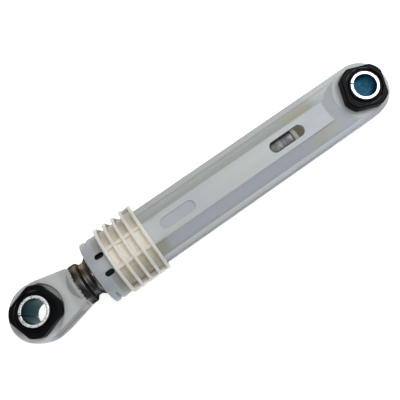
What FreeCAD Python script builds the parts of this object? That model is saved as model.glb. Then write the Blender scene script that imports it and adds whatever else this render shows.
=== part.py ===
import FreeCAD, Part
import math
import os

os.makedirs("parts", exist_ok=True)

V = FreeCAD.Vector
origin = V(0, 0, 0)
x_axis = V(1, 0, 0)
z_axis = V(0, 0, 1)

# Frame: origin in the middle of the housing eye's bore, bores along Z,
# the rod leaves along -X. All sizes in millimetres.

# Bolt sleeves, rolled from strip
bolt_bore_d = 12.0
sleeve_wall = 1.5
sleeve_length = 24.0
sleeve_seam_gap = 0.4
housing_seam_deg = 139.0        # where the seam stands around the bore
rod_seam_deg = 162.0

# Rubber bushes
bush_wall = 2.7                 # rubber between sleeve and eye
flange_d = 25.2
flat_cut = 1.6                  # how far each of the four flats cuts into a flange
flange_set_back = 0.9           # flange face below the sleeve end
flange_bevel = 0.45
housing_flats_deg = -20.0
rod_flats_deg = 19.0

# Eyes
eye_thickness = 11.0
housing_ring_wall = 4.9
rod_ring_wall = 4.5

# Steel tube of the rod
tube_d = 22.0
tube_wall = 1.0
tube_length = 128.6
bead_length = 3.4               # full diameter left at the eye end
groove_depth = 1.85
groove_floor = 2.2
groove_ramp = 1.4               # on the eye side
groove_run_out = 2.2            # on the cap side

# Rod eye
rod_eye_reach = 22.4            # eye centre to the tube's end
shoulder_rise = 2.25            # body face above the ring face
pocket_clearance = 0.3          # round pocket beside the bush flange
pocket_draft = 0.3              # the pocket widens by this for each millimetre outward
body_end_half_width = 9.8       # body where it runs into the neck
neck_length = 1.3
neck_ramp = 3.4
neck_set_in = 0.1               # neck below the tube's surface
neck_foot_drop = 0.2            # the neck's ramp starts this far below the body face
spigot_past_groove = 6.0
eye_edge_bevel = 0.6
horn_start = 2.0                # body face falls to the ring face between these
horn_end = 8.0

# Housing
housing_length = 132.8          # eye centre to the collar
housing_wall = 1.9
face_half_width = 5.85          # flat front and back
face_rise = 0.2                 # flat faces above the round tube
face_edge_round = 0.35
crease_round = 1.0              # tube running into the side fins
fin_edge_bevel = 0.6
ramp_foot = 0.1                 # ramp starts this far outside the eye ring
ramp_run = 10.2                 # how far the ramp reaches
bore_bottom_wall = 4.0
window_length = 20.4
window_width = 6.2
window_from_eye = 50.0
mark_length = 19.7
mark_width = 5.8
mark_depth = 0.7
mark_from_eye = 115.7
housing_spigot_length = 7.6
housing_snap_height = 0.45
housing_snap_width = 1.4        # along the damper
housing_snap_reach = 4.0        # half its length round the spigot

# Friction lining
lining_thickness = 3.0
lining_seam_gap = 0.6
lining_seam_deg = 250.0

# Ribbed collar
ring_count = 5
ring_pitch = 5.0
ring_thickness = 1.5
ring_height = 2.7
end_ring_height = 3.3           # the two rings next to the housing
end_cell_height = 0.8           # floor between those two rings
collar_wall = 2.4
nose_wall = 1.1
rib_deg = 16.3                  # ribs and slots either side of the middle
rib_thickness = 1.6
rib_height = 2.0
side_flat = 17.8                # flat strip along one side, from the axis
side_flat_width = 14.0
gusset_length = 2.0
gusset_thickness = 3.0
gusset_height = 2.4
end_pad_height = 2.7            # pad between the last two rings, on the gusset side
end_pad_width = 6.0

# End cap
cap_length = 9.7
cap_wall = 1.7
cap_face = 1.7
lip_bevel = 0.4
band_width = 3.7                # set-back band next to the collar
band_depth = 0.2
grip_from_face = 2.2            # groove behind the lip, on both sides only
grip_width = 1.8
grip_depth = 1.1
grip_start = 13.6               # sideways from the middle
slot_length = 4.75
slot_width = 2.75
slot_from_end = 0.6
hook_height = 0.45
hook_width = 1.3
hook_half_width = 3.0
hook_from_face = 5.4

# Rod guide
guide_flange = 2.4
guide_spigot = 8.0
guide_wall = 2.0

# Rest position and fits
exposed_rod = 10.55             # rod drawn out at rest, from where it stops pushed in
rod_twist_deg = 6.0             # rod eye turned against the housing eye
turn_fit = 0.05                 # radial, sleeve turning in rubber
seat_fit = 0.05                 # pieces pushed into one another
lining_rod_fit = 0.05
lining_chamber_fit = 0.1
lining_end_gap = 0.3
rod_bore_gap = 0.45
rod_cap_gap = 0.4
guide_bore_fit = 0.1

# Modelling
overshoot = 1.0                 # cutters reach this far past a face
edge_match = 0.05               # how near an edge lies to its stated place

# Values that follow
bolt_r = bolt_bore_d / 2
sleeve_r = bolt_r + sleeve_wall
eye_hole_r = sleeve_r + bush_wall
half_eye = eye_thickness / 2
housing_ring_r = eye_hole_r + housing_ring_wall
rod_ring_r = eye_hole_r + rod_ring_wall
tube_r = tube_d / 2
bore_r = tube_r + rod_bore_gap
housing_r = bore_r + housing_wall
face_z = housing_r + face_rise
ramp_r = housing_ring_r + ramp_foot
ramp_top_r = ramp_r + ramp_run
lining_in_r = tube_r + lining_rod_fit
lining_out_r = lining_in_r + lining_thickness
chamber_r = lining_out_r + lining_chamber_fit
spigot_r = chamber_r - seat_fit
collar_r = chamber_r + collar_wall
nose_r = chamber_r + nose_wall
socket_r = nose_r + seat_fit
cap_r = socket_r + cap_wall
cap_hole_r = tube_r + rod_cap_gap
collar_length = (ring_count - 1) * ring_pitch + ring_thickness
collar_x = -housing_length - collar_length
cap_end_x = collar_x - seat_fit
cap_x = cap_end_x - cap_length
nose_x = cap_x + cap_face + seat_fit
spigot_x = -housing_length - housing_spigot_length
bore_bottom_x = -ramp_top_r - bore_bottom_wall
tube_left_out = max(0, tube_length + guide_flange - (bore_bottom_x - cap_x))    # pushed right in
tube_x = cap_x - tube_left_out - exposed_rod
tube_end_x = tube_x + tube_length
rod_eye_x = tube_x - rod_eye_reach


def turned(profile):
    """Solid turned about X from an (x, radius) profile."""
    points = [V(x, radius, 0) for x, radius in profile]
    return Part.Face(Part.makePolygon(points + points[:1])).revolve(origin, x_axis, 360)


def disc(radius, thickness, bevel):
    """Disc about Z, centred on the origin, with bevelled rims."""
    half = thickness / 2
    outline = [
        V(0, 0, -half),
        V(radius - bevel, 0, -half),
        V(radius, 0, -half + bevel),
        V(radius, 0, half - bevel),
        V(radius - bevel, 0, half),
        V(0, 0, half),
    ]
    return Part.Face(Part.makePolygon(outline + outline[:1])).revolve(origin, z_axis, 360)


def obround(length, width, depth):
    """Obround block along X, centred on the origin, from z = 0 to depth."""
    half = length / 2 - width / 2
    side = width / 2
    edges = [
        Part.makeLine(V(-half, side, 0), V(half, side, 0)),
        Part.Arc(V(half, side, 0), V(half + side, 0, 0), V(half, -side, 0)).toShape(),
        Part.makeLine(V(half, -side, 0), V(-half, -side, 0)),
        Part.Arc(V(-half, -side, 0), V(-half - side, 0, 0), V(-half, side, 0)).toShape(),
    ]
    return Part.Face(Part.Wire(edges)).extrude(V(0, 0, depth))


def block(x0, x1, y0, y1, z0, z1):
    """Block between two corners."""
    return Part.makeBox(x1 - x0, y1 - y0, z1 - z0, V(x0, y0, z0))


def plate(corners, direction):
    """Flat polygon pushed out along a direction."""
    return Part.Face(Part.makePolygon(corners + corners[:1])).extrude(direction)


def bored(radius, length):
    """Cylinder about Z, centred on the origin."""
    return Part.makeCylinder(radius, length, V(0, 0, -length / 2), z_axis)


def front_and_back(shape):
    """The shape and its half-turned twin about X."""
    twin = shape.copy()
    twin.rotate(origin, x_axis, 180)
    return [shape, twin]


def edges_along_x(solid, y, z):
    """Straight edges along X that lie at the given |y| and |z|."""
    found = []
    for edge in solid.Edges:
        box = edge.BoundBox
        if max(box.YLength, box.ZLength) > edge_match:
            continue
        if abs(abs(box.YMin) - y) < edge_match and abs(abs(box.ZMin) - z) < edge_match:
            found.append(edge)
    return found


def make_sleeve(seam_deg):
    """Sleeve rolled from strip, with an open seam."""
    half = sleeve_length / 2
    tube = bored(sleeve_r, sleeve_length).cut(bored(bolt_r, sleeve_length))
    seam = block(0, sleeve_r + overshoot, -sleeve_seam_gap / 2, sleeve_seam_gap / 2, -half, half)
    seam.rotate(origin, z_axis, seam_deg)
    return tube.cut(seam)


def flange_outline(radius, flat, z):
    """Round outline with four flats, at height z."""
    along = math.sqrt(radius ** 2 - flat ** 2)
    middle = radius / math.sqrt(2)
    edges = []
    for turn in range(4):
        quarter = FreeCAD.Rotation(z_axis, 90 * turn)
        low = quarter.multVec(V(flat, -along, z))
        high = quarter.multVec(V(flat, along, z))
        bulge = quarter.multVec(V(middle, middle, z))
        following = quarter.multVec(V(along, flat, z))
        edges.append(Part.makeLine(low, high))
        edges.append(Part.Arc(high, bulge, following).toShape())
    return Part.Wire(edges)


def make_bush(flats_deg):
    """Rubber bush with a bevelled flange each side of the eye."""
    foot = half_eye + seat_fit
    face = sleeve_length / 2 - flange_set_back
    outline = flange_outline(flange_d / 2, flange_d / 2 - flat_cut, foot)
    flange = Part.Face(outline).extrude(V(0, 0, face - foot))
    rim = [edge for edge in flange.Edges if edge.BoundBox.ZMin > face - edge_match]
    flange = flange.makeChamfer(flange_bevel, rim)
    flange.rotate(origin, z_axis, flats_deg)
    waist = bored(eye_hole_r - seat_fit, 2 * foot)
    bush = waist.fuse(front_and_back(flange)).removeSplitter()
    return bush.cut(bored(sleeve_r + turn_fit, sleeve_length))


def groove_line(offset):
    """Rolled groove of the tube as (x, radius), that far below its surface."""
    shift_in = offset * math.tan(math.atan2(groove_depth, groove_ramp) / 2)
    shift_out = offset * math.tan(math.atan2(groove_depth, groove_run_out) / 2)
    start = tube_x + bead_length
    floor = start + groove_ramp
    leave = floor + groove_floor
    stop = leave + groove_run_out
    full = tube_r - offset
    return [
        (start - shift_in, full),
        (floor - shift_in, full - groove_depth),
        (leave + shift_out, full - groove_depth),
        (stop + shift_out, full),
    ]


def make_rod_tube():
    """Steel tube with the groove rolled in over the rod eye's spigot."""
    inner_r = tube_r - tube_wall
    profile = [(tube_x, tube_r)]
    profile += groove_line(0)
    profile += [(tube_end_x, tube_r), (tube_end_x, inner_r)]
    profile += reversed(groove_line(tube_wall))
    profile += [(tube_x, inner_r)]
    return turned(profile)


def make_rod_eye():
    """Moulded eye: ring, tapering body, round neck and a spigot with a square groove."""
    half_body = half_eye + shoulder_rise
    neck_r = tube_r - neck_set_in
    end_half = body_end_half_width
    reach = math.hypot(rod_eye_reach, end_half)
    touch = math.atan2(end_half, rod_eye_reach) + math.acos(rod_ring_r / reach)
    side_x = rod_ring_r * math.cos(touch)
    side_y = rod_ring_r * math.sin(touch)
    corners = [
        V(0, -eye_hole_r, -half_body),
        V(side_x, -side_y, -half_body),
        V(rod_eye_reach, -end_half, -half_body),
        V(rod_eye_reach, end_half, -half_body),
        V(side_x, side_y, -half_body),
        V(0, eye_hole_r, -half_body),
    ]
    body = plate(corners, V(0, 0, 2 * half_body))
    long_edges = []
    for edge in body.Edges:
        box = edge.BoundBox
        if box.ZLength < edge_match < box.XLength and box.XMin > side_x - edge_match:
            long_edges.append(edge)
    body = body.makeChamfer(eye_edge_bevel, long_edges)
    body = body.common(Part.makeCone(neck_r + rod_eye_reach, neck_r, rod_eye_reach, origin, x_axis))
    pocket_r = flange_d / 2 + pocket_clearance
    pocket_depth = shoulder_rise + overshoot
    pocket_top_r = pocket_r + pocket_draft * pocket_depth
    pocket = Part.makeCone(pocket_r, pocket_top_r, pocket_depth, V(0, 0, half_eye), z_axis)
    horn = plate([
        V(0, -rod_ring_r, half_eye),
        V(horn_start, -rod_ring_r, half_eye),
        V(horn_end, -rod_ring_r, half_body),
        V(horn_end, -rod_ring_r, half_body + overshoot),
        V(0, -rod_ring_r, half_body + overshoot),
    ], V(0, 2 * rod_ring_r, 0))
    body = body.cut(front_and_back(pocket) + front_and_back(horn))
    eye = bored(rod_ring_r, eye_thickness).fuse(body)
    eye.translate(V(rod_eye_x, 0, 0))
    spigot_drop = tube_wall + seat_fit
    spigot_end = groove_line(0)[3][0] + spigot_past_groove
    spigot_out = tube_r - spigot_drop
    neck_x = tube_x - neck_length
    profile = [
        (neck_x - neck_ramp, 0),
        (neck_x - neck_ramp, half_body - neck_foot_drop),
        (neck_x, neck_r),
        (tube_x, neck_r),
        (tube_x, spigot_out),
    ]
    groove = groove_line(spigot_drop)
    profile += [
        (groove[0][0], spigot_out),
        (groove[0][0], groove[1][1]),
        (groove[3][0], groove[1][1]),
        (groove[3][0], spigot_out),
        (spigot_end, spigot_out),
        (spigot_end, 0),
    ]
    eye = eye.fuse(turned(profile)).removeSplitter()
    hole = bored(eye_hole_r, eye_thickness + 2 * overshoot)
    hole.translate(V(rod_eye_x, 0, 0))
    return eye.cut(hole)


def make_rod_guide():
    """Guide ring pushed into the inner end of the tube."""
    flange_r = bore_r - guide_bore_fit
    push_r = tube_r - tube_wall - seat_fit
    hollow_r = push_r - guide_wall
    return turned([
        (tube_end_x - guide_spigot, hollow_r),
        (tube_end_x - guide_spigot, push_r),
        (tube_end_x, push_r),
        (tube_end_x, flange_r),
        (tube_end_x + guide_flange, flange_r),
        (tube_end_x + guide_flange, hollow_r),
    ])


def make_lining():
    """Felt strip bent round the rod, with a butt seam."""
    x0 = nose_x + lining_end_gap
    x1 = spigot_x - lining_end_gap
    sleeve = turned([
        (x0, lining_in_r),
        (x0, lining_out_r),
        (x1, lining_out_r),
        (x1, lining_in_r),
    ])
    half_gap = lining_seam_gap / 2
    seam = block(x0, x1, 0, lining_out_r + overshoot, -half_gap, half_gap)
    seam.rotate(origin, x_axis, lining_seam_deg)
    return sleeve.cut(seam)


def housing_snaps(gap):
    """Snap lugs of the housing's spigot, front and back, grown by a gap."""
    middle = (spigot_x - housing_length) / 2
    half = housing_snap_width / 2 + gap
    top = spigot_r + housing_snap_height + gap
    ridge = turned([
        (middle - half, bore_r),
        (middle - half, spigot_r),
        (middle, top),
        (middle + half, spigot_r),
        (middle + half, bore_r),
    ])
    reach = housing_snap_reach + gap
    side = block(middle - half, middle + half, -reach, reach, 0, top)
    return [ridge.common(half_space) for half_space in front_and_back(side)]


def make_housing():
    """Moulded housing: tube, flat faces, side fins, ramps, eye and spigot."""
    fin_y = housing_ring_r
    tube = Part.makeCylinder(housing_r, housing_length, V(-housing_length, 0, 0), x_axis)
    fins = block(-housing_length, 0, -fin_y, fin_y, -half_eye, half_eye)
    faces = block(-housing_length, 0, -face_half_width, face_half_width, -face_z, face_z)
    body = tube.fuse([fins, faces]).removeSplitter()
    crease_y = math.sqrt(housing_r ** 2 - half_eye ** 2)
    body = body.makeChamfer(fin_edge_bevel, edges_along_x(body, fin_y, half_eye))
    body = body.makeFillet(crease_round, edges_along_x(body, crease_y, half_eye))
    body = body.makeFillet(face_edge_round, edges_along_x(body, face_half_width, face_z))
    ramp = Part.makeCone(ramp_r, ramp_top_r, face_z - half_eye, V(0, 0, half_eye), z_axis)
    spill = Part.makeCylinder(ramp_top_r, overshoot, V(0, 0, face_z), z_axis)
    body = body.cut(front_and_back(ramp.fuse(spill)))
    body = body.fuse(disc(housing_ring_r, eye_thickness, fin_edge_bevel)).removeSplitter()
    spigot = Part.makeCylinder(spigot_r, housing_spigot_length, V(spigot_x, 0, 0), x_axis)
    body = body.fuse([spigot] + housing_snaps(0))
    bore = Part.makeCylinder(bore_r, bore_bottom_x - spigot_x, V(spigot_x, 0, 0), x_axis)
    window = obround(window_length, window_width, face_z + overshoot)
    window.translate(V(-window_from_eye, 0, 0))
    mark = obround(mark_length, mark_width, mark_depth + overshoot)
    mark.translate(V(-mark_from_eye, 0, face_z - mark_depth))
    cuts = [bore, bored(eye_hole_r, eye_thickness + 2 * overshoot)]
    cuts += front_and_back(window)
    cuts += front_and_back(mark)
    return body.cut(cuts)


def at_slots(cutter):
    """Cutter along X about z, repeated at the four relief slots."""
    cutter.translate(V(cap_end_x - slot_from_end - slot_length / 2, 0, 0))
    found = []
    for side in (-1, 1):
        turned_cutter = cutter.copy()
        turned_cutter.rotate(origin, x_axis, side * rib_deg)
        found += front_and_back(turned_cutter)
    return found


def cap_hooks(gap):
    """Inward hooks of the cap's tongues, front and back, grown by a gap."""
    middle = cap_x + hook_from_face
    half = hook_width / 2 + gap
    root = socket_r + cap_wall / 2
    tip = socket_r - hook_height - gap
    ridge = turned([
        (middle - half, root),
        (middle - half, tip),
        (middle, tip),
        (middle + half, socket_r),
        (middle + half, root),
    ])
    reach = hook_half_width + gap
    tongue = block(cap_x, cap_end_x, -reach, reach, 0, cap_r)
    return [ridge.common(half_space) for half_space in front_and_back(tongue)]


def collar_side_features():
    """Flat strip on one side, gussets and end pad on the other."""
    inside_r = chamber_r + collar_wall / 2
    strip = block(
        collar_x, -housing_length,
        -side_flat, -inside_r,
        -side_flat_width / 2, side_flat_width / 2,
    )
    strip = strip.cut(Part.makeCylinder(inside_r, collar_length, V(collar_x, 0, 0), x_axis))
    features = [strip]
    for ring in range(ring_count - 2):
        foot_x = collar_x + ring * ring_pitch + ring_thickness / 2
        rise_x = foot_x + ring_thickness / 2
        low_z = -gusset_thickness / 2
        features.append(plate([
            V(foot_x, inside_r, low_z),
            V(rise_x + gusset_length, inside_r, low_z),
            V(rise_x + gusset_length, collar_r, low_z),
            V(rise_x, collar_r + gusset_height, low_z),
            V(foot_x, collar_r + gusset_height, low_z),
        ], V(0, 0, gusset_thickness)))
    pad_end = -housing_length - ring_thickness / 2
    pad_r = collar_r + end_pad_height
    pad = block(
        pad_end - ring_pitch, pad_end,
        inside_r, pad_r,
        -end_pad_width / 2, end_pad_width / 2,
    )
    features.append(pad.common(Part.makeCylinder(pad_r, collar_length, V(collar_x, 0, 0), x_axis)))
    return features


def make_collar():
    """Ribbed collar with the lining chamber and the nose for the end cap."""
    last = ring_count - 1
    profile = [
        (nose_x, chamber_r),
        (nose_x, nose_r),
        (collar_x, nose_r),
    ]
    for ring in range(ring_count):
        left = collar_x + ring * ring_pitch
        right = left + ring_thickness
        tall = end_ring_height if ring >= last - 1 else ring_height
        floor = end_cell_height if ring == last - 1 else 0
        profile += [(left, collar_r + tall), (right, collar_r + tall)]
        if ring < last:
            profile += [(right, collar_r + floor), (left + ring_pitch, collar_r + floor)]
    profile += [(-housing_length, chamber_r)]
    collar = turned(profile)
    ribs = []
    for side in (-1, 1):
        rib = block(
            collar_x + ring_thickness / 2, -housing_length - ring_thickness / 2,
            -rib_thickness / 2, rib_thickness / 2,
            chamber_r + collar_wall / 2, collar_r + rib_height,
        )
        rib.rotate(origin, x_axis, side * rib_deg)
        ribs += front_and_back(rib)
    collar = collar.fuse(ribs + collar_side_features()).removeSplitter()
    wide = collar_r + end_ring_height + overshoot
    trim = block(
        collar_x - overshoot, -housing_length + overshoot,
        -wide, -side_flat,
        -wide, wide,
    )
    notch = block(-slot_length / 2, slot_length / 2, -slot_width / 2, slot_width / 2, 0, cap_r)
    return collar.cut([trim] + at_slots(notch) + cap_hooks(seat_fit) + housing_snaps(seat_fit))


def make_end_cap():
    """Clipped-on cap: bevelled lip, side grooves, set-back band, relief slots and inward hooks."""
    band_x = cap_end_x - band_width
    band_r = cap_r - band_depth
    cap = turned([
        (cap_x, cap_hole_r),
        (cap_x, cap_r - lip_bevel),
        (cap_x + lip_bevel, cap_r),
        (band_x, cap_r),
        (band_x, band_r),
        (cap_end_x, band_r),
        (cap_end_x, socket_r),
        (cap_x + cap_face, socket_r),
        (cap_x + cap_face, cap_hole_r),
    ])
    grip_x = cap_x + grip_from_face
    groove = turned([
        (grip_x, cap_r + overshoot),
        (grip_x, cap_r),
        (grip_x + grip_width / 2, cap_r - grip_depth),
        (grip_x + grip_width, cap_r),
        (grip_x + grip_width, cap_r + overshoot),
    ])
    wide = cap_r + 2 * overshoot
    groove = groove.cut(block(grip_x, grip_x + grip_width, -grip_start, grip_start, -wide, wide))
    slots = at_slots(obround(slot_length, slot_width, cap_r + overshoot))
    return cap.cut(slots + [groove]).fuse(cap_hooks(0)).removeSplitter()


def twisted(shape):
    """Turns a piece of the rod about the damper's axis."""
    shape.rotate(origin, x_axis, -rod_twist_deg)
    return shape


def on_rod_eye(shape):
    """Moves a piece made about the origin to the turned rod eye."""
    shape.translate(V(rod_eye_x, 0, 0))
    return twisted(shape)


pieces = {
    "housing": make_housing(),
    "ribbed_collar": make_collar(),
    "end_cap": make_end_cap(),
    "friction_lining": make_lining(),
    "housing_bush": make_bush(housing_flats_deg),
    "housing_sleeve": make_sleeve(housing_seam_deg),
    "rod_tube": make_rod_tube(),
    "rod_eye": twisted(make_rod_eye()),
    "rod_guide": make_rod_guide(),
    "rod_bush": on_rod_eye(make_bush(rod_flats_deg)),
    "rod_sleeve": on_rod_eye(make_sleeve(rod_seam_deg)),
}

for name, shape in pieces.items():
    solids = shape.Solids
    print(name, "solids", len(solids), "valid", shape.isValid(), "volume", round(shape.Volume, 1))
    solids[0].exportStep("parts/" + name + ".step")
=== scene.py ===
import bmesh
import bpy
import numpy as np
from mathutils import Matrix, Vector


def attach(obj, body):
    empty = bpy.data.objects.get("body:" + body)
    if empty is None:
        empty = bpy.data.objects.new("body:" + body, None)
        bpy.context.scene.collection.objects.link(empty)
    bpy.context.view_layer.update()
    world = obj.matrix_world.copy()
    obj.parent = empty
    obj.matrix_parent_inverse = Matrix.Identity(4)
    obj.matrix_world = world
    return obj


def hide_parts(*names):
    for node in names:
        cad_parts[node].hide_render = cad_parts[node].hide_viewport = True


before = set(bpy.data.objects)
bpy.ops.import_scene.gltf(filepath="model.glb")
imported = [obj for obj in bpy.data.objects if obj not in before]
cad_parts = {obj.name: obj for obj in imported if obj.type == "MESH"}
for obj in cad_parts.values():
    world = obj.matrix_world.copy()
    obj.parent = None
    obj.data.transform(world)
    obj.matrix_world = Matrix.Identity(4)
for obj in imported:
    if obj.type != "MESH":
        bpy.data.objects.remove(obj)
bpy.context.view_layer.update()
mm = 0.001
print("frame loaded:", sorted(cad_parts))


def linear(hexColour):  # sRGB hex to the linear colour that the shader works in
    value = np.array([int(hexColour[i:i + 2], 16) for i in (1, 3, 5)]) / 255
    value = np.where(value <= 0.04045, value / 12.92, ((value + 0.055) / 1.055) ** 2.4)
    return (*value.tolist(), 1.0)


def fillSockets(tree, node, sockets):  # links or sets each named socket of a node
    for socket, value in sockets.items():
        if isinstance(value, bpy.types.NodeSocket):
            tree.links.new(value, node.inputs[socket])
        else:
            node.inputs[socket].default_value = value


def addNode(tree, kind, inputs=None, stops=None, **settings):  # one node with its settings and links
    node = tree.nodes.new(kind)
    for key, value in settings.items():
        setattr(node, key, value)
    fillSockets(tree, node, inputs or {})
    if stops:  # colour ramp, as (position, hex) pairs
        elements = node.color_ramp.elements
        while len(elements) < len(stops):
            elements.new(0.5)
        for element, (position, colour) in zip(elements, stops):
            element.position = position
            element.color = linear(colour)
    return node


def startMaterial(name):
    material = bpy.data.materials.new(name)
    material.use_nodes = True
    tree = material.node_tree
    tree.nodes.clear()
    surface = addNode(tree, "ShaderNodeBsdfPrincipled")
    addNode(tree, "ShaderNodeOutputMaterial", {"Surface": surface.outputs["BSDF"]})
    place = addNode(tree, "ShaderNodeTexCoord").outputs["Object"]
    return material, tree, surface, place


def addObject(name, data):
    thing = bpy.data.objects.new(name, data)
    bpy.context.scene.collection.objects.link(thing)
    return thing


noiseSpread = (0.3, 0.7)  # where nearly all of a noise lies

# What the moulded plastics share: stretch of the flow streaks, spread of the roughness, height (mm) of the
# grain and how the milky colour spreads under the skin
plasticSkin = {"flow": (0.12, 1.0, 1.0), "roughSpread": (-0.05, 0.07), "relief": 0.12, "reliefDepth": 0.05,
               "ior": 1.49, "milkSpread": (1.0, 0.95, 0.8)}


# Polypropylene or polyamide, injection moulded: a milky, slightly see-through satin skin with faint flow
# streaks along the mould's length, cloudy tone and a very fine spark-eroded grain. A zone is a part of the
# piece with a tone of its own, most often painted shade or painted light, and a zone's glow is painted
# light; it lies between two places (mm) along the damper, aside from its middle or to one side of it, above
# its middle plane, out from its axis or round its eye.
def mouldedPlastic(name, look):
    material, tree, surface, place = startMaterial(name)
    cloud = addNode(tree, "ShaderNodeTexNoise",
                    {"Vector": place, "Scale": 1 / (look["cloud"] * mm), "Detail": 3.0})
    along = addNode(tree, "ShaderNodeMapping", {"Vector": place, "Scale": plasticSkin["flow"]})
    streak = addNode(tree, "ShaderNodeTexNoise",
                     {"Vector": along.outputs["Vector"], "Scale": 1 / (look["streak"] * mm), "Detail": 4.0})
    mixed = addNode(tree, "ShaderNodeMath", {0: cloud.outputs["Fac"], 1: streak.outputs["Fac"]},
                    operation="ADD")
    half = addNode(tree, "ShaderNodeMath", {0: mixed.outputs[0], 1: 0.5}, operation="MULTIPLY")
    colour = addNode(tree, "ShaderNodeValToRGB", {"Fac": half.outputs[0]}, look["tones"]).outputs["Color"]
    axes = addNode(tree, "ShaderNodeSeparateXYZ", {"Vector": place})
    aside = addNode(tree, "ShaderNodeMath", {0: axes.outputs["Y"]}, operation="ABSOLUTE")
    above = addNode(tree, "ShaderNodeMath", {0: axes.outputs["Z"]}, operation="ABSOLUTE")
    across = addNode(tree, "ShaderNodeMapping", {"Vector": place, "Scale": (0.0, 1.0, 1.0)})
    out = addNode(tree, "ShaderNodeVectorMath", {0: across.outputs["Vector"]}, operation="LENGTH")
    fromEye = addNode(tree, "ShaderNodeMapping", {"Vector": place, "Scale": (1.0, 1.0, 0.0),
                                                  "Location": (-look["eyeAt"] * mm, 0.0, 0.0)})
    around = addNode(tree, "ShaderNodeVectorMath", {0: fromEye.outputs["Vector"]}, operation="LENGTH")
    measures = {"along": axes.outputs["X"], "side": axes.outputs["Y"], "aside": aside.outputs[0],
                "above": above.outputs[0], "out": out.outputs["Value"], "round": around.outputs["Value"]}
    for zone in look["zones"]:
        share = zone["share"]
        for measure, begin, end in zone["between"]:
            step = addNode(tree, "ShaderNodeMapRange", {"Value": measures[measure], "From Min": begin * mm,
                                                        "From Max": end * mm, "To Max": share})
            share = step.outputs["Result"]
        tinted = addNode(tree, "ShaderNodeMix", {0: share, 6: colour, 7: linear(zone["tone"])},
                         data_type="RGBA")
        colour = tinted.outputs[2]
        # painted light: a glow standing in for light that comes through the wall
        if "glow" in zone:  # light that comes through the wall
            glow = addNode(tree, "ShaderNodeMath", {0: share, 1: zone["glow"]}, operation="MULTIPLY")
            fillSockets(tree, surface, {"Emission Color": linear(zone["tone"]),
                                        "Emission Strength": glow.outputs[0]})
    grain = addNode(tree, "ShaderNodeTexNoise",
                    {"Vector": place, "Scale": 1 / (look["grain"] * mm), "Detail": 2.0})
    smooth, dull = (look["rough"] + spread for spread in plasticSkin["roughSpread"])
    rough = addNode(tree, "ShaderNodeMapRange",
                    {"Value": grain.outputs["Fac"], "To Min": smooth, "To Max": dull})
    bump = addNode(tree, "ShaderNodeBump", {"Height": grain.outputs["Fac"], "Strength": plasticSkin["relief"],
                                            "Distance": plasticSkin["reliefDepth"] * mm})
    fillSockets(tree, surface, {"Base Color": colour, "Roughness": rough.outputs["Result"],
                                "Normal": bump.outputs["Normal"], "IOR": plasticSkin["ior"],
                                "Subsurface Weight": look["milk"],
                                "Subsurface Radius": plasticSkin["milkSpread"],
                                "Subsurface Scale": look["milkDepth"] * mm})
    return material


# Nitrile rubber, moulded: near black, soft sheen that breaks up on a dull skin, and a painted highlight: a
# paler line along a marked edge, where it would catch the light.
def mouldedRubber(name, look):
    material, tree, surface, place = startMaterial(name)
    patch = addNode(tree, "ShaderNodeTexNoise",
                    {"Vector": place, "Scale": 1 / (look["patch"] * mm), "Detail": 4.0})
    grain = addNode(tree, "ShaderNodeTexNoise",
                    {"Vector": place, "Scale": 1 / (look["grain"] * mm), "Detail": 3.0})
    skin = addNode(tree, "ShaderNodeValToRGB", {"Fac": patch.outputs["Fac"]}, look["tones"])
    # painted highlight: a paler tone along the marked edge, broken up by the patch noise
    mark = addNode(tree, "ShaderNodeAttribute", attribute_name=look["mark"])
    highlightBreakup = addNode(tree, "ShaderNodeMapRange",
                     {"Value": patch.outputs["Fac"], "From Min": look["highlightBreakup"][0],
                      "From Max": look["highlightBreakup"][1], "To Max": mark.outputs["Fac"]})
    colour = addNode(tree, "ShaderNodeMix", {0: highlightBreakup.outputs["Result"], 6: skin.outputs["Color"],
                                             7: linear(look["wearAndHighlight"])}, data_type="RGBA")
    rough = addNode(tree, "ShaderNodeMapRange",
                    {"Value": patch.outputs["Fac"], "From Min": noiseSpread[0], "From Max": noiseSpread[1],
                     "To Min": look["rough"][0], "To Max": look["rough"][1]})
    bump = addNode(tree, "ShaderNodeBump", {"Height": grain.outputs["Fac"], "Strength": look["relief"],
                                            "Distance": look["reliefDepth"] * mm})
    fillSockets(tree, surface, {"Base Color": colour.outputs[2], "Roughness": rough.outputs["Result"],
                                "Normal": bump.outputs["Normal"], "IOR": look["ior"],
                                "Specular IOR Level": look["sheen"]})
    return material


# What the steels share: mark and stain together at which a film begins and is full, how far the rolling marks
# show in its tone, and their height (mm)
steelSkin = {"film": (0.55, 0.95), "streaky": 0.5, "reliefDepth": 0.03}
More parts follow.
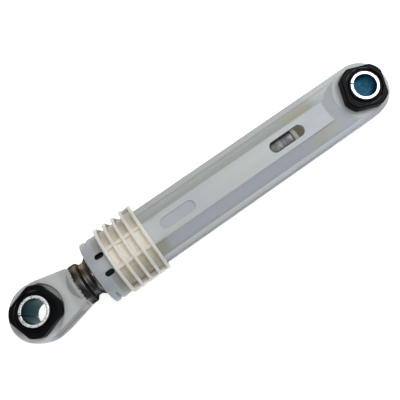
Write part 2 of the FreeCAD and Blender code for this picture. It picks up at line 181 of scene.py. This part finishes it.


# Steel, drawn or rolled: bright metal with fine marks along the rolling direction. Where the piece's own mark
# says so, a second tone lies over it in patches: a grease film in the tube's groove, and in a sleeve's bore
# blue passivation, darkened as painted shade.
def rolledSteel(name, look):
    material, tree, surface, place = startMaterial(name)
    along = addNode(tree, "ShaderNodeMapping", {"Vector": place, "Scale": look["stretch"]})
    marks = addNode(tree, "ShaderNodeTexNoise",
                    {"Vector": along.outputs["Vector"], "Scale": 1 / (look["marks"] * mm), "Detail": 5.0})
    stain = addNode(tree, "ShaderNodeTexNoise",
                    {"Vector": place, "Scale": 1 / (look["stain"] * mm), "Detail": 4.0})
    bare = addNode(tree, "ShaderNodeValToRGB", {"Fac": stain.outputs["Fac"]}, look["tones"])
    mark = addNode(tree, "ShaderNodeAttribute", attribute_name=look["mark"])
    patchy = addNode(tree, "ShaderNodeMath", {0: mark.outputs["Fac"], 1: stain.outputs["Fac"]},
                     operation="ADD")
    film = addNode(tree, "ShaderNodeMapRange", {"Value": patchy.outputs[0], "From Min": steelSkin["film"][0],
                                                "From Max": steelSkin["film"][1]})
    thick = addNode(tree, "ShaderNodeMix",
                    {0: steelSkin["streaky"], 2: mark.outputs["Fac"], 3: marks.outputs["Fac"]})
    coated = addNode(tree, "ShaderNodeValToRGB", {"Fac": thick.outputs[0]}, look["filmTones"])
    colour = addNode(tree, "ShaderNodeMix", {0: film.outputs["Result"], 6: bare.outputs["Color"],
                                             7: coated.outputs["Color"]}, data_type="RGBA")
    rough = addNode(tree, "ShaderNodeMapRange",
                    {"Value": marks.outputs["Fac"], "From Min": noiseSpread[0], "From Max": noiseSpread[1],
                     "To Min": look["rough"][0], "To Max": look["rough"][1]})
    filmRough = addNode(tree, "ShaderNodeMix",
                        {0: film.outputs["Result"], 2: rough.outputs["Result"], 3: look["filmRough"]})
    bump = addNode(tree, "ShaderNodeBump", {"Height": marks.outputs["Fac"], "Strength": look["relief"],
                                            "Distance": steelSkin["reliefDepth"] * mm})
    fillSockets(tree, surface, {"Base Color": colour.outputs[2], "Roughness": filmRough.outputs[0],
                                "Normal": bump.outputs["Normal"], "Metallic": 1.0,
                                "Specular Tint": linear(look["edge"])})
    return material


# Wool felt soaked in grease: charcoal fibres with a dull wet glint.
def greasedFelt(name, look):
    material, tree, surface, place = startMaterial(name)
    fibre = addNode(tree, "ShaderNodeTexNoise", {"Vector": place, "Scale": 1 / (look["fibre"] * mm),
                                                 "Detail": 6.0, "Distortion": 1.5})
    colour = addNode(tree, "ShaderNodeValToRGB", {"Fac": fibre.outputs["Fac"]}, look["tones"])
    bump = addNode(tree, "ShaderNodeBump", {"Height": fibre.outputs["Fac"], "Strength": look["relief"],
                                            "Distance": look["reliefDepth"] * mm})
    fillSockets(tree, surface, {"Base Color": colour.outputs["Color"], "Normal": bump.outputs["Normal"],
                                "Roughness": look["rough"]})
    return material


greyPlastic = mouldedPlastic("polypropylene, natural grey, moulded", {
    "eyeAt": 0.0, "cloud": 32, "streak": 9, "grain": 0.3, "rough": 0.42, "milk": 0.12, "milkDepth": 1.5,
    "tones": [(0.3, "#adb3b8"), (0.5, "#b9bfc1"), (0.7, "#bcbeb6")],
    # painted shade: the mark's floor darker
    "zones": [{"tone": "#989da9", "share": 0.5,  # the mark's floor
               "between": [("along", -60, -70), ("above", 13.4, 13.0), ("aside", 3.2, 2.8)]},
              # painted shade: the upper slope and the upper fin darker, turned from the light
              {"tone": "#9ea49f", "share": 1.0,  # upper slope
               "between": [("along", -24, -30), ("side", 5.9, 6.5), ("side", 12.0, 11.4)]},
              {"tone": "#aeb1b0", "share": 0.9,  # upper fin
               "between": [("along", -24, -30), ("side", 11.4, 12.0)]},
              # painted shade: the lower slope, the lower fin and the fin's edge darker, turned from the light
              {"tone": "#a7acb2", "share": 1.0,  # lower slope
               "between": [("along", -29, -33), ("side", -5.9, -6.5), ("side", -12.0, -11.4)]},
              {"tone": "#979ca4", "share": 0.5,  # lower fin and its edge
               "between": [("side", -12.5, -13.2)]},
              {"tone": "#80858b", "share": 0.7,
               "between": [("along", -24, -30), ("side", -14.3, -14.9)]},
              {"tone": "#aa9f7f", "share": 0.4,  # yellowed patches: above the window, below it, by the collar
               "between": [("along", -47, -44), ("along", -28, -33),
                           ("side", 5.0, 6.4), ("side", 12.4, 10.5)]},
              {"tone": "#b4b39a", "share": 0.5,
               "between": [("along", -43, -37), ("along", -21, -27),
                           ("side", -5.0, -6.4), ("side", -12.4, -10.5)]},
              {"tone": "#999883", "share": 0.8,
               "between": [("along", -125.5, -128.5), ("side", -5.0, -6.4), ("side", -12.4, -10.5)]},
              # painted light: the bore glows, standing in for light coming through its wall
              {"tone": "#8d8a79", "share": 1.0, "glow": 0.33,  # the bore, lit through its wall
               "between": [("along", -28.9, -29.3), ("out", 12.2, 11.6)]}]})
capPlastic = mouldedPlastic("polypropylene, natural grey, moulded cap", {
    "eyeAt": -197.0, "cloud": 20, "streak": 6, "grain": 0.3, "rough": 0.4, "milk": 0.12, "milkDepth": 1.2,
    "tones": [(0.3, "#9ca1a9"), (0.5, "#a3a8ad"), (0.7, "#a7aaac")],
    # painted shade: next to the collar, beside the tongue, darker
    "zones": [{"tone": "#979893", "share": 0.9,  # next to the collar, beside the tongue
               "between": [("along", -158.15, -157.95), ("aside", 4.2, 6.0)]},
              # painted shade: the slots' walls, what lies behind them and the cap's edge by the collar go
              # black
              {"tone": "#050505", "share": 1.0,  # the dark behind the slots
               "between": [("along", -160.4, -160.2), ("out", 16.8, 16.6)]}]})
ivoryPlastic = mouldedPlastic("polyamide, ivory, moulded", {
    "eyeAt": -197.0, "cloud": 14, "streak": 5, "grain": 0.3, "rough": 0.4, "milk": 0.6, "milkDepth": 2.5,
    "tones": [(0.3, "#b5ac92"), (0.5, "#bdb5a1"), (0.7, "#c0b9a9")],
    # painted light: the front and back lighter, with a painted glow standing in for light coming through the
    # wall
    "zones": [{"tone": "#d3cab4", "share": 0.8, "glow": 0.12,  # front and back, lit through the wall
               "between": [("along", -154.6, -154.4), ("aside", 13.0, 6.0)]},
              # painted light: the middle of the front and back lighter still
              {"tone": "#e1dbcf", "share": 0.9, "between": [("aside", 6.0, 4.4)]},
              # painted light: the rings' rims lighter than the cells between them
              {"tone": "#d3d4cf", "share": 0.9, "between": [("out", 17.2, 18.7)]},  # the rings' rims
              # painted shade: the end inside the cap, behind its slots, black
              {"tone": "#050505", "share": 1.0,  # the end inside the cap, behind its slots
               "between": [("along", -154.4, -154.6)]}]})
eyePlastic = mouldedPlastic("polypropylene, natural grey, moulded eye", {
    "eyeAt": -197.0, "cloud": 24, "streak": 7, "grain": 0.3, "rough": 0.42, "milk": 0.12, "milkDepth": 1.5,
    "tones": [(0.3, "#b3b8bb"), (0.5, "#bec3c4"), (0.7, "#c0c2be")],
    # painted shade: the pocket round the bush darker, in the flange's shadow
    "zones": [{"tone": "#8f928d", "share": 0.75,  # the pocket round the bush
               "between": [("round", 14.2, 12.4), ("above", 7.2, 5.6), ("side", -9, -5)]},
              # painted light: the rim's lower side lighter, where the bush's flange casts its shadow
              {"tone": "#e6e9e9", "share": 0.75,  # the rim's lower side, and its wall further right
               "between": [("round", 10.8, 11.6), ("side", -3, -7), ("along", -192, -203)]},
              # painted shade: the eye's lower side wall darker, turned from the light
              {"tone": "#565a5e", "share": 0.95,
               "between": [("along", -203, -195), ("above", 8.3, 7.9), ("side", -8.4, -9.4),
                           ("round", 13.4, 14.2)]},
              # painted light: the step at the neck and the neck lighter, where the concave step turns from the
              # light
              {"tone": "#b9bdbc", "share": 0.9,  # the step at the neck, then the neck
               "between": [("along", -179.6, -179.2), ("above", 7.55, 7.8), ("side", -8, -2),
                           ("out", 10.8, 10.2)]},
              {"tone": "#979a94", "share": 0.5, "between": [("along", -181, -178)]}]})
guidePlastic = mouldedPlastic("acetal, moulded guide ring", {
    "eyeAt": -197.0, "cloud": 10, "streak": 4, "grain": 0.3, "rough": 0.4, "milk": 0.05, "milkDepth": 1.0,
    "tones": [(0.3, "#8a877b"), (0.5, "#96938a"), (0.7, "#9f9c92")], "zones": []})
flashPlastic = mouldedPlastic("polypropylene, thin moulding flash", {
    "eyeAt": -197.0, "cloud": 2, "streak": 1, "grain": 0.2, "rough": 0.5, "milk": 0.3, "milkDepth": 0.5,
    "tones": [(0.3, "#a9a699"), (0.5, "#c9c6b9"), (0.7, "#e0ded4")], "zones": []})
blackRubber = mouldedRubber("nitrile rubber, moulded, black", {
    "patch": 6, "grain": 0.35, "rough": (0.24, 0.44), "relief": 0.2, "reliefDepth": 0.06, "ior": 1.52,
    # painted highlight: the pale tone on the moat's edge
    "sheen": 0.05, "mark": "edgeHighlight", "wearAndHighlight": "#84898b", "highlightBreakup": (0.44, 0.56),
    "tones": [(0.3, "#07090b"), (0.6, "#0b0d10"), (0.8, "#14171a")]})
tubeSteel = rolledSteel("steel tube, drawn and polished, with old grease", {
    "stretch": (1.0, 0.1, 0.1), "marks": 0.5, "stain": 4, "rough": (0.06, 0.22), "relief": 0.1,
    # painted shade: the dark edge tint keeps the tube's grazing reflections dark
    "mark": "grease", "filmRough": 0.38, "edge": "#606264",
    "tones": [(0.3, "#73726d"), (0.6, "#8b8a87"), (0.8, "#9b9b99")],
    "filmTones": [(0.3, "#292a2d"), (0.52, "#4d4d4d"), (0.58, "#66645f"), (0.63, "#80725f"),
                  (0.73, "#ad9a80")]})
housingSleeveSteel = rolledSteel("steel strip, rolled, zinc plated and passivated blue", {
    "stretch": (1.0, 1.0, 0.15), "marks": 0.6, "stain": 5, "rough": (0.36, 0.5), "relief": 0.06,
    "mark": "boreSide", "filmRough": 0.28, "edge": "#b3d3df",
    "tones": [(0.3, "#eceeee"), (0.6, "#f6f7f7"), (0.8, "#ffffff")],
    # painted shade: the bore's blue passivation film kept dark, as shade inside the bore
    "filmTones": [(0.67, "#254256"), (0.77, "#345970"), (0.87, "#49819a")]})
rodSleeveSteel = rolledSteel("steel strip, rolled, zinc plated and scuffed", {
    "stretch": (1.0, 1.0, 1.0), "marks": 0.7, "stain": 0.9, "rough": (0.34, 0.48), "relief": 0.4,
    "mark": "boreSide", "filmRough": 0.3, "edge": "#c0cfd3",
    "tones": [(0.36, "#a3a9aa"), (0.5, "#e3e6e6"), (0.65, "#f8f9f9")],
    # painted shade: this bore's film darker still than the housing sleeve's, as shade inside the bore
    "filmTones": [(0.67, "#091b20"), (0.77, "#10282d"), (0.87, "#203a3f")]})
felt = greasedFelt("wool felt, greased", {
    "fibre": 0.5, "rough": 0.6, "relief": 0.6, "reliefDepth": 0.2,
    "tones": [(0.3, "#080707"), (0.6, "#121110"), (0.8, "#1d1b19")]})
print("finishes mixed")

# Copies of the moulded solids with their edges rounded over, as a mould leaves them: corners nearer than
# merge (mm) join, faces within flat (degrees) of each other become one, and edges past sharp (degrees) are
# rounded
rounding = {"merge": 0.001, "flat": 0.2, "sharp": 20, "segments": 3}
moulded = {
    "housing": {"finish": greyPlastic, "body": "housing", "slot": "housing_plastic", "edge": 0.45},
    "ribbed_collar": {"finish": ivoryPlastic, "body": "housing", "slot": "collar_plastic", "edge": 0.3},
    "end_cap": {"finish": capPlastic, "body": "housing", "slot": "cap_plastic", "edge": 0.3},
    "rod_eye": {"finish": eyePlastic, "body": "rod", "slot": "eye_plastic", "edge": 0.6},
    "rod_guide": {"finish": guidePlastic, "body": "rod", "slot": "guide_plastic", "edge": 0.3}}
for node, piece in moulded.items():
    shape = bmesh.new()
    shape.from_mesh(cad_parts[node].data)
    bmesh.ops.remove_doubles(shape, verts=shape.verts, dist=rounding["merge"] * mm)
    bmesh.ops.dissolve_limit(shape, angle_limit=np.radians(rounding["flat"]), verts=shape.verts,
                             edges=shape.edges)
    mesh = bpy.data.meshes.new(node + "Moulded")
    shape.to_mesh(mesh)
    shape.free()
    mesh.shade_smooth()
    mesh.materials.clear()
    mesh.materials.append(piece["finish"])
    copy = addObject(node + "Moulded", mesh)
    edge = copy.modifiers.new("edge", "BEVEL")
    edge.width = piece["edge"] * mm
    edge.segments = rounding["segments"]
    edge.limit_method = "ANGLE"
    edge.angle_limit = np.radians(rounding["sharp"])
    edge.harden_normals = True
    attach(copy, piece["body"])
    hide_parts(node)
print("moulded pieces rounded:", sorted(moulded))


# Corner loop with arcs: each (x, y, radius) corner becomes an arc tangent to its two sides,
# swept evenly from the side before it to the side after it.
def roundedLoop(corners, steps=6):
    corners = np.array(corners, float)
    point, radius = corners[:, :2], corners[:, 2:3]
    back = np.roll(point, 1, 0) - point
    ahead = np.roll(point, -1, 0) - point
    back /= np.linalg.norm(back, axis=1, keepdims=True)
    ahead /= np.linalg.norm(ahead, axis=1, keepdims=True)
    half = np.arccos(np.clip((back * ahead).sum(1, keepdims=True), -1, 1)) / 2
    middle = back + ahead
    middle /= np.linalg.norm(middle, axis=1, keepdims=True)
    centre = point + middle * radius / np.sin(half)
    first = (point + back * radius / np.tan(half) - centre)[:, None]
    last = (point + ahead * radius / np.tan(half) - centre)[:, None]
    sweep = np.pi - 2 * half[:, :, None]
    share = np.linspace(0, 1, steps + 1)[None, :, None]
    arc = (np.sin((1 - share) * sweep) * first + np.sin(share * sweep) * last) / np.sin(sweep)
    return (centre[:, None] + arc).reshape(-1, 2)


# Puts a grid of points (rows x columns x 3, in mm) into a mesh. The last row joins the first. So does the
# last column where the piece is closed, and otherwise the first and the last column get one face each.
def surfacePiece(name, grid, finish, body, nodes, closed=True, marks=None):
    rows, columns = grid.shape[:2]
    row, column = np.meshgrid(np.arange(rows), np.arange(columns - (not closed)), indexing="ij")
    nextRow, nextColumn = (row + 1) % rows, (column + 1) % columns
    quads = np.stack([row * columns + column, nextRow * columns + column,
                      nextRow * columns + nextColumn, row * columns + nextColumn], -1).reshape(-1, 4)
    point = grid.reshape(-1, 3) * mm
    corner = point[quads]
    facing = np.cross(corner[:, 1] - corner[:, 0], corner[:, 2] - corner[:, 0])
    faces = quads.tolist()
    if not closed:
        faces.append((np.arange(rows) * columns)[::-1].tolist())
        faces.append((np.arange(rows) * columns + columns - 1).tolist())
    if (facing * corner[:, 0]).sum() < 0:  # the volume is negative, so the faces point inwards
        faces = [face[::-1] for face in faces]
    mesh = bpy.data.meshes.new(name)
    mesh.from_pydata(point.tolist(), [], faces)
    mesh.shade_smooth()
    for mark, values in (marks or {}).items():
        layer = mesh.attributes.new(mark, "FLOAT", "POINT")
        layer.data.foreach_set("value", np.ascontiguousarray(values, np.float32).ravel())
    mesh.materials.append(finish)
    piece = addObject(name, mesh)
    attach(piece, body)
    if nodes:
        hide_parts(*nodes)


# Eyes: where each bore stands, how far it is turned about the damper's length, and how strong the painted
# highlight on its bush's edge is on the upper and the lower side
eyes = {"housing": {"x": 0.0, "turn": 0.0, "flats": -20.0, "seam": 139.0, "edgeHighlight": (1.0, 0.8),
                    "steel": housingSleeveSteel},
        "rod": {"x": -197.0, "turn": -6.0, "flats": 19.0, "seam": 162.0, "edgeHighlight": (0.5, 0.0),
                "steel": rodSleeveSteel}}


def atEye(grid, eye):  # turns a piece made about the bore and moves it to its eye
    angle = np.radians(eye["turn"])
    x, y, z = grid[..., 0], grid[..., 1], grid[..., 2]
    return np.stack([x + eye["x"], y * np.cos(angle) - z * np.sin(angle),
                     y * np.sin(angle) + z * np.cos(angle)], -1)


# Sleeve: a rounded wall section (radius, height) swept round the bore, short of the seam by half its gap each
# way. The film, blue passivation darkened as painted shade, lies in the bore and on the seam's two edges; the
# rest is bare.
sleeve = {"bore": 6.0, "outside": 7.5, "half": 12.0, "rim": 0.22, "gap": 0.4, "turns": 200,
          "boreEdge": 0.03, "film": 1, "bare": -0.3}
wall = roundedLoop([(sleeve["bore"], -sleeve["half"], sleeve["rim"]),
                    (sleeve["outside"], -sleeve["half"], sleeve["rim"]),
                    (sleeve["outside"], sleeve["half"], sleeve["rim"]),
                    (sleeve["bore"], sleeve["half"], sleeve["rim"])])
seamHalf = sleeve["gap"] / 2 / sleeve["outside"]
for name, eye in eyes.items():
    angle = np.radians(eye["seam"]) + np.linspace(seamHalf, 2 * np.pi - seamHalf, sleeve["turns"])
    grid = np.stack([wall[:, :1] * np.cos(angle), wall[:, :1] * np.sin(angle), wall[:, 1:] + 0 * angle], -1)
    inside = np.broadcast_to(wall[:, :1] < sleeve["bore"] + sleeve["boreEdge"], grid.shape[:2]).copy()
    inside[:, [0, -1]] = True
    surfacePiece(name + "Sleeve", atEye(grid, eye), eye["steel"], name + "_sleeve", [name + "_sleeve"],
                 closed=False,
                 marks={"boreSide": np.where(inside, sleeve["film"], sleeve["bare"])})
print("sleeves rolled")

# Bush: a section (radius, height) swept round the bore. Where a corner belongs to a flange, its radius gives
# way to the flange's outline: the smaller of the round and the four flats, with the meeting corners eased.
bush = {"bore": 7.55, "face": 11.1, "lip": 0.55, "lipEase": 0.2, "moat": 1.5, "moatDepth": 1.0,
        "moatSlope": 0.25, "moatEase": 0.25, "moatEdge": 0.3, "round": 12.6, "flat": 11.0, "flatEase": 7.0,
        "bevel": 0.5, "bevelEase": 0.6, "foot": 5.55, "footEase": 0.3, "waist": 10.15, "waistEase": 0.15,
        "steps": 4, "turns": 240}
lip = bush["bore"] + bush["lip"]
moat = lip + bush["moat"]
moatFloor = bush["face"] - bush["moatDepth"]
upperHalf = [(bush["bore"], bush["face"], bush["lipEase"]),
             (lip, bush["face"], bush["lipEase"]),
             (lip + bush["moatSlope"], moatFloor, bush["moatEase"]),
             (moat - bush["moatSlope"], moatFloor, bush["moatEase"]),
             (moat, bush["face"], bush["moatEdge"]),
             (bush["round"] - bush["bevel"], bush["face"], bush["bevelEase"]),
             (bush["round"], bush["face"] - bush["bevel"], bush["bevelEase"]),
             (bush["round"], bush["foot"], bush["footEase"]),
             (bush["waist"], bush["foot"], bush["waistEase"])]
section = roundedLoop(upperHalf + [(radius, -height, ease) for radius, height, ease in upperHalf[::-1]],
                      bush["steps"])
flange = np.array([0, 0, 0, 0, 0, 1, 1, 1, 0])  # which of those corners belong to the flange
# the moat's outer edge carries the painted highlight
highlightEdge = np.array([0, 0, 0, 0, 1, 0, 0, 0, 0])  # and which is the moat's outer edge
onFlange = np.repeat(np.concatenate([flange, -flange[::-1]]), bush["steps"] + 1)[:, None]
onEdge = np.outer(np.concatenate([highlightEdge, highlightEdge[::-1]]), np.ones(bush["steps"] + 1))
onEdge[:, [0, -1]] = 0  # fades out at the ends of the corner's arc
angle = np.linspace(0, 2 * np.pi, bush["turns"], endpoint=False)
for name, eye in eyes.items():
    outlines = []
    for side in (1, -1):
        off = (side * angle - np.radians(eye["flats"]) + np.pi / 4) % (np.pi / 2) - np.pi / 4
        flat = bush["flat"] / np.cos(off)
        outlines.append(-np.logaddexp(-bush["flatEase"] * bush["round"], -bush["flatEase"] * flat)
                        / bush["flatEase"])
    outline = np.where(onFlange > 0, outlines[0], np.where(onFlange < 0, outlines[1], bush["round"]))
    radius = section[:, :1] + outline - bush["round"]
    grid = np.stack([radius * np.cos(angle), radius * np.sin(angle), section[:, 1:] + 0 * angle], -1)
    upper, lower = eye["edgeHighlight"]
    # painted highlight along the moat's outer edge, strongest on the upper and the lower side
    edgeHighlight = onEdge.reshape(-1, 1) * np.sin(angle) ** 2 * np.where(np.sin(angle) > 0, upper, lower)
    surfacePiece(name + "Bush", atEye(grid, eye), blackRubber, name, [name + "_bush"],
                 marks={"edgeHighlight": edgeHighlight})
print("bushes moulded")

# Rod tube: wall section (along, radius) with the rolled groove, swept round the damper's length. Its grease
# lies between the eye's neck and the place named clean, most of it round upperAt (degrees from the upper side
# to the front), less on the worn lines, and a dry film covers the tube beyond the place named inner.
rod = {"start": -174.6, "end": -46.0, "radius": 11.0, "wall": 1.0, "bead": 3.4, "ramp": 1.4, "floor": 2.2,
       "runOut": 2.2, "depth": 1.85, "rimEase": 0.4, "boreEase": 0.3, "grooveEase": (0.9, 0.8, 0.9, 1.4),
       "boreGrooveEase": (0.4, 0.5, 0.5, 0.5), "steps": 7, "turns": 160,
       "clean": -164.5, "cleanBlend": 0.2, "cleanFilm": 0.05,
       "inner": -64.0, "innerBlend": 1, "innerFilm": 0.42,
       "grease": 0.48, "grooveGrease": 0.1, "upperGrease": 0.3, "upperAt": 42,
       "wearAndHighlight": (-174.4, -169.8, -165.6), "wornWidth": 0.5, "wornOff": 0.5}


def grooveLine(inset, radii):  # the groove's four corners, that far below the tube's surface
    shiftIn = inset * np.tan(np.arctan2(rod["depth"], rod["ramp"]) / 2)
    shiftOut = inset * np.tan(np.arctan2(rod["depth"], rod["runOut"]) / 2)
    first = rod["start"] + rod["bead"]
    last = first + rod["ramp"] + rod["floor"] + rod["runOut"]
    along = [first - shiftIn, first + rod["ramp"] - shiftIn, last - rod["runOut"] + shiftOut, last + shiftOut]
    full = rod["radius"] - inset
    return list(zip(along, [full, full - rod["depth"], full - rod["depth"], full], radii))


boreRadius = rod["radius"] - rod["wall"]
outerStart = [(rod["start"], rod["radius"], rod["rimEase"])] + grooveLine(0, rod["grooveEase"])
corners = outerStart + [(rod["end"], rod["radius"], rod["rimEase"]), (rod["end"], boreRadius, rod["boreEase"])]
corners += grooveLine(rod["wall"], rod["boreGrooveEase"])[::-1]
corners += [(rod["start"], boreRadius, rod["boreEase"])]
section = roundedLoop(corners, rod["steps"])
changes = [(rod[place] + side * rod[place + "Blend"], rod["radius"])
           for place in ("clean", "inner") for side in (-1, 1)]  # where the film changes on the straight wall
section = np.insert(section, len(outerStart) * (rod["steps"] + 1), changes, axis=0)
along, height = section[:, :1], section[:, 1:]
angle = np.linspace(0, 2 * np.pi, rod["turns"], endpoint=False)
grid = np.stack([along + 0 * angle, height * np.cos(angle), height * np.sin(angle)], -1)
depth = np.clip((rod["radius"] - height) / rod["depth"], 0, 1)
wearAndHighlight = np.exp(-((along - np.array(rod["wearAndHighlight"])) / rod["wornWidth"]) ** 2).sum(1, keepdims=True)
wearAndHighlight = wearAndHighlight * np.maximum(np.sin(angle), 0)
upper = np.maximum(np.cos(angle - np.radians(rod["upperAt"])), 0) ** 2
grease = rod["grease"] + rod["grooveGrease"] * depth - rod["wornOff"] * wearAndHighlight + rod["upperGrease"] * upper
grease = np.where(along < rod["clean"], grease, rod["cleanFilm"]) + rod["innerFilm"] * (along > rod["inner"])
surfacePiece("rodTube", grid, tubeSteel, "rod", ["rod_tube"], marks={"grease": grease})
print("tube drawn")

# Felt lining: a soft-edged wall section swept round the rod, its outside swelling and thinning by slow waves,
# the product of two sines that slant along the rod: (waves a turn, slant in radians per mm)
lining = {"start": -162.0, "end": -140.7, "inside": 11.06, "outside": 13.98, "insideEase": 0.5,
          "outsideEase": 0.7, "swell": 0.06, "waves": ((5, 1.0), (3, -0.6)), "seam": 250.0, "gap": 0.6,
          "turns": 180}
section = roundedLoop([(lining["start"], lining["inside"], lining["insideEase"]),
                       (lining["start"], lining["outside"], lining["outsideEase"]),
                       (lining["end"], lining["outside"], lining["outsideEase"]),
                       (lining["end"], lining["inside"], lining["insideEase"])])
along, height = section[:, :1], section[:, 1:]
seamHalf = lining["gap"] / 2 / lining["outside"]
angle = np.radians(lining["seam"]) + np.linspace(seamHalf, 2 * np.pi - seamHalf, lining["turns"])
wave = np.prod([np.sin(count * angle + slant * along) for count, slant in lining["waves"]], axis=0)
radius = height + lining["swell"] * wave * (height > (lining["inside"] + lining["outside"]) / 2)
grid = np.stack([along + 0 * angle, radius * np.cos(angle), radius * np.sin(angle)], -1)
surfacePiece("frictionFelt", grid, felt, "lining", ["friction_lining"], closed=False)
print("felt laid in")

# Neck flash: a thin ragged band squeezed over the tube's end where the eye was moulded on. A small section
# (along, radius) swept round the rod, whose free edge wanders by a sum of sines: (waves a turn, phase).
flash = {"foot": -174.9, "reach": 0.5, "leastReach": 0.05, "ragged": 0.5 / 3, "inside": 10.98, "thick": 0.14,
         "shares": (0, 0.35, 0.8, 1), "waves": ((7, 1), (31, 0), (53, 4), (83, 5), (107, 2)), "turns": 600}
angle = np.linspace(0, 2 * np.pi, flash["turns"], endpoint=False)
wander = np.sum([np.sin(count * angle + phase) for count, phase in flash["waves"]], axis=0)
foot = flash["foot"] + 0 * angle
tip = foot + np.maximum(flash["reach"] + flash["ragged"] * wander, flash["leastReach"])
radius = flash["inside"] + flash["thick"] * np.array(flash["shares"])[:, None]
grid = np.stack([np.stack([foot, tip, tip, foot]), radius * np.cos(angle), radius * np.sin(angle)], -1)
surfacePiece("neckFlash", grid, flashPlastic, "rod", [])

# Parting lines: a flat ellipse carried along each moulding's outline at the mould's split, half sunk in the
# wall. The outline is a round of the eye's radius, from touch (degrees) on, with a straight side to its end
# (x, y); away is the side of the eye that the body lies on.
parting = {"proud": 0.16, "sunk": 0.1, "halfWidth": 0.22, "sides": 10, "arc": 60}
splits = {
    "housing": {"radius": 15.1, "end": (-132.6, 15.1), "touch": 90.0, "away": -1, "finish": greyPlastic,
                "slot": "housing_plastic"},
    "rod": {"radius": 14.7, "end": (17.2, 11.0), "touch": 74.3, "away": 1, "finish": eyePlastic,
            "slot": "eye_plastic"}}
ring = np.linspace(0, 2 * np.pi, parting["sides"], endpoint=False)
off = (parting["proud"] - parting["sunk"]) / 2 + (parting["proud"] + parting["sunk"]) / 2 * np.cos(ring)
for name, split in splits.items():
    sweep = np.radians(np.linspace(split["touch"], 360 - split["touch"], parting["arc"]))
    path = split["radius"] * np.stack([split["away"] * np.cos(sweep), np.sin(sweep)], -1)
    path = np.vstack([[split["end"]], path, [[split["end"][0], -split["end"][1]]]])
    step = np.gradient(path, axis=0)
    outward = np.stack([step[:, 1], -step[:, 0]], -1) / np.linalg.norm(step, axis=1, keepdims=True)
    outward *= np.sign((outward * path).sum(1, keepdims=True))
    flat = path[None] + off[:, None, None] * outward[None]
    height = np.broadcast_to(parting["halfWidth"] * np.sin(ring)[:, None, None], (*flat.shape[:2], 1))
    grid = np.concatenate([flat, height], -1)
    surfacePiece(name + "PartingLine", atEye(grid, eyes[name]), split["finish"], name, [],
                 closed=False)
print("flash and parting lines added")

# Studio: white light table, soft boxes above and at both sides; metres, the paper's fleck in mm
studio = {"floorZ": -0.01990, "floorSize": 4.0, "fleck": 2, "paper": [(0.3, "#f6f6f6"), (0.7, "#fafafa")],
          "paperRough": 0.9, "glow": 0.68, "glowTint": "#ffffff", "world": "#8a8c90", "worldStrength": 0.5,
          "target": (-0.1, 0, 0)}
floorMesh = bpy.data.meshes.new("studioFloor")
half = studio["floorSize"] / 2
floorMesh.from_pydata([(-half, -half, studio["floorZ"]), (half, -half, studio["floorZ"]),
                       (half, half, studio["floorZ"]), (-half, half, studio["floorZ"])], [], [(0, 1, 2, 3)])
floor = addObject("studioFloor", floorMesh)
paper, tree, surface, place = startMaterial("white backdrop paper on a light table")
fleck = addNode(tree, "ShaderNodeTexNoise",
                {"Vector": place, "Scale": 1 / (studio["fleck"] * mm), "Detail": 2.0})
pulp = addNode(tree, "ShaderNodeValToRGB", {"Fac": fleck.outputs["Fac"]}, studio["paper"])
fillSockets(tree, surface, {"Base Color": pulp.outputs["Color"], "Roughness": studio["paperRough"],
                            "Emission Color": linear(studio["glowTint"]),
                            "Emission Strength": studio["glow"]})
floorMesh.materials.append(paper)

world = bpy.data.worlds.new("studio")
bpy.context.scene.world = world
world.use_nodes = True
fillSockets(world.node_tree, world.node_tree.nodes["Background"],
            {"Color": linear(studio["world"]), "Strength": studio["worldStrength"]})

softBoxes = {
    "topSoftBox": {"at": (0.04, 0.11, 0.75), "size": 0.75, "energy": 3.5, "tint": "#fffdf8"},
    "eyeSoftBox": {"at": (0.25, 0.04, 0.47), "size": 0.3, "energy": 1.0, "tint": "#f0f5ff"},
    "rodSoftBox": {"at": (-0.62, 0.07, 0.39), "size": 0.06, "energy": 0.35, "tint": "#ffffff"},
    "upperSoftBox": {"at": (0.0, 0.7, 0.3), "size": 0.4, "energy": 0.12, "tint": "#ffefcc"},
    "lowerSoftBox": {"at": (0.1, -0.65, 0.35), "size": 0.4, "energy": 0.3, "tint": "#d9e6ff"},
    "leftSoftBox": {"at": (-0.5, -0.25, 0.3), "size": 0.3, "energy": 0.15, "tint": "#ffffff"}}
for name, box in softBoxes.items():
    light = bpy.data.lights.new(name, "AREA")
    light.size = box["size"]
    light.energy = box["energy"]
    light.color = linear(box["tint"])[:3]
    lamp = addObject(name, light)
    lamp.location = box["at"]
    towards = Vector(studio["target"]) - Vector(box["at"])
    lamp.rotation_euler = towards.to_track_quat("-Z", "Y").to_euler()

# Camera where the photograph was taken from; metres, lens and sensor in mm
view = {"at": (-0.12882, -0.03216, 0.25885), "lens": 46.31, "sensor": 36, "near": 0.01,
        "right": (0.81774, -0.57546, 0.01184), "up": (0.5661, 0.80781, 0.16423),
        "back": (-0.10407, -0.1276, 0.98635)}
cameraData = bpy.data.cameras.new("camera")
cameraData.sensor_width = view["sensor"]
cameraData.lens = view["lens"]
cameraData.clip_start = view["near"]
camera = addObject("camera", cameraData)
turn = Matrix((view["right"], view["up"], view["back"])).transposed().to_4x4()
camera.matrix_world = Matrix.Translation(view["at"]) @ turn
bpy.context.scene.camera = camera
bpy.context.scene.view_settings.view_transform = "Standard"
print("studio and camera set")
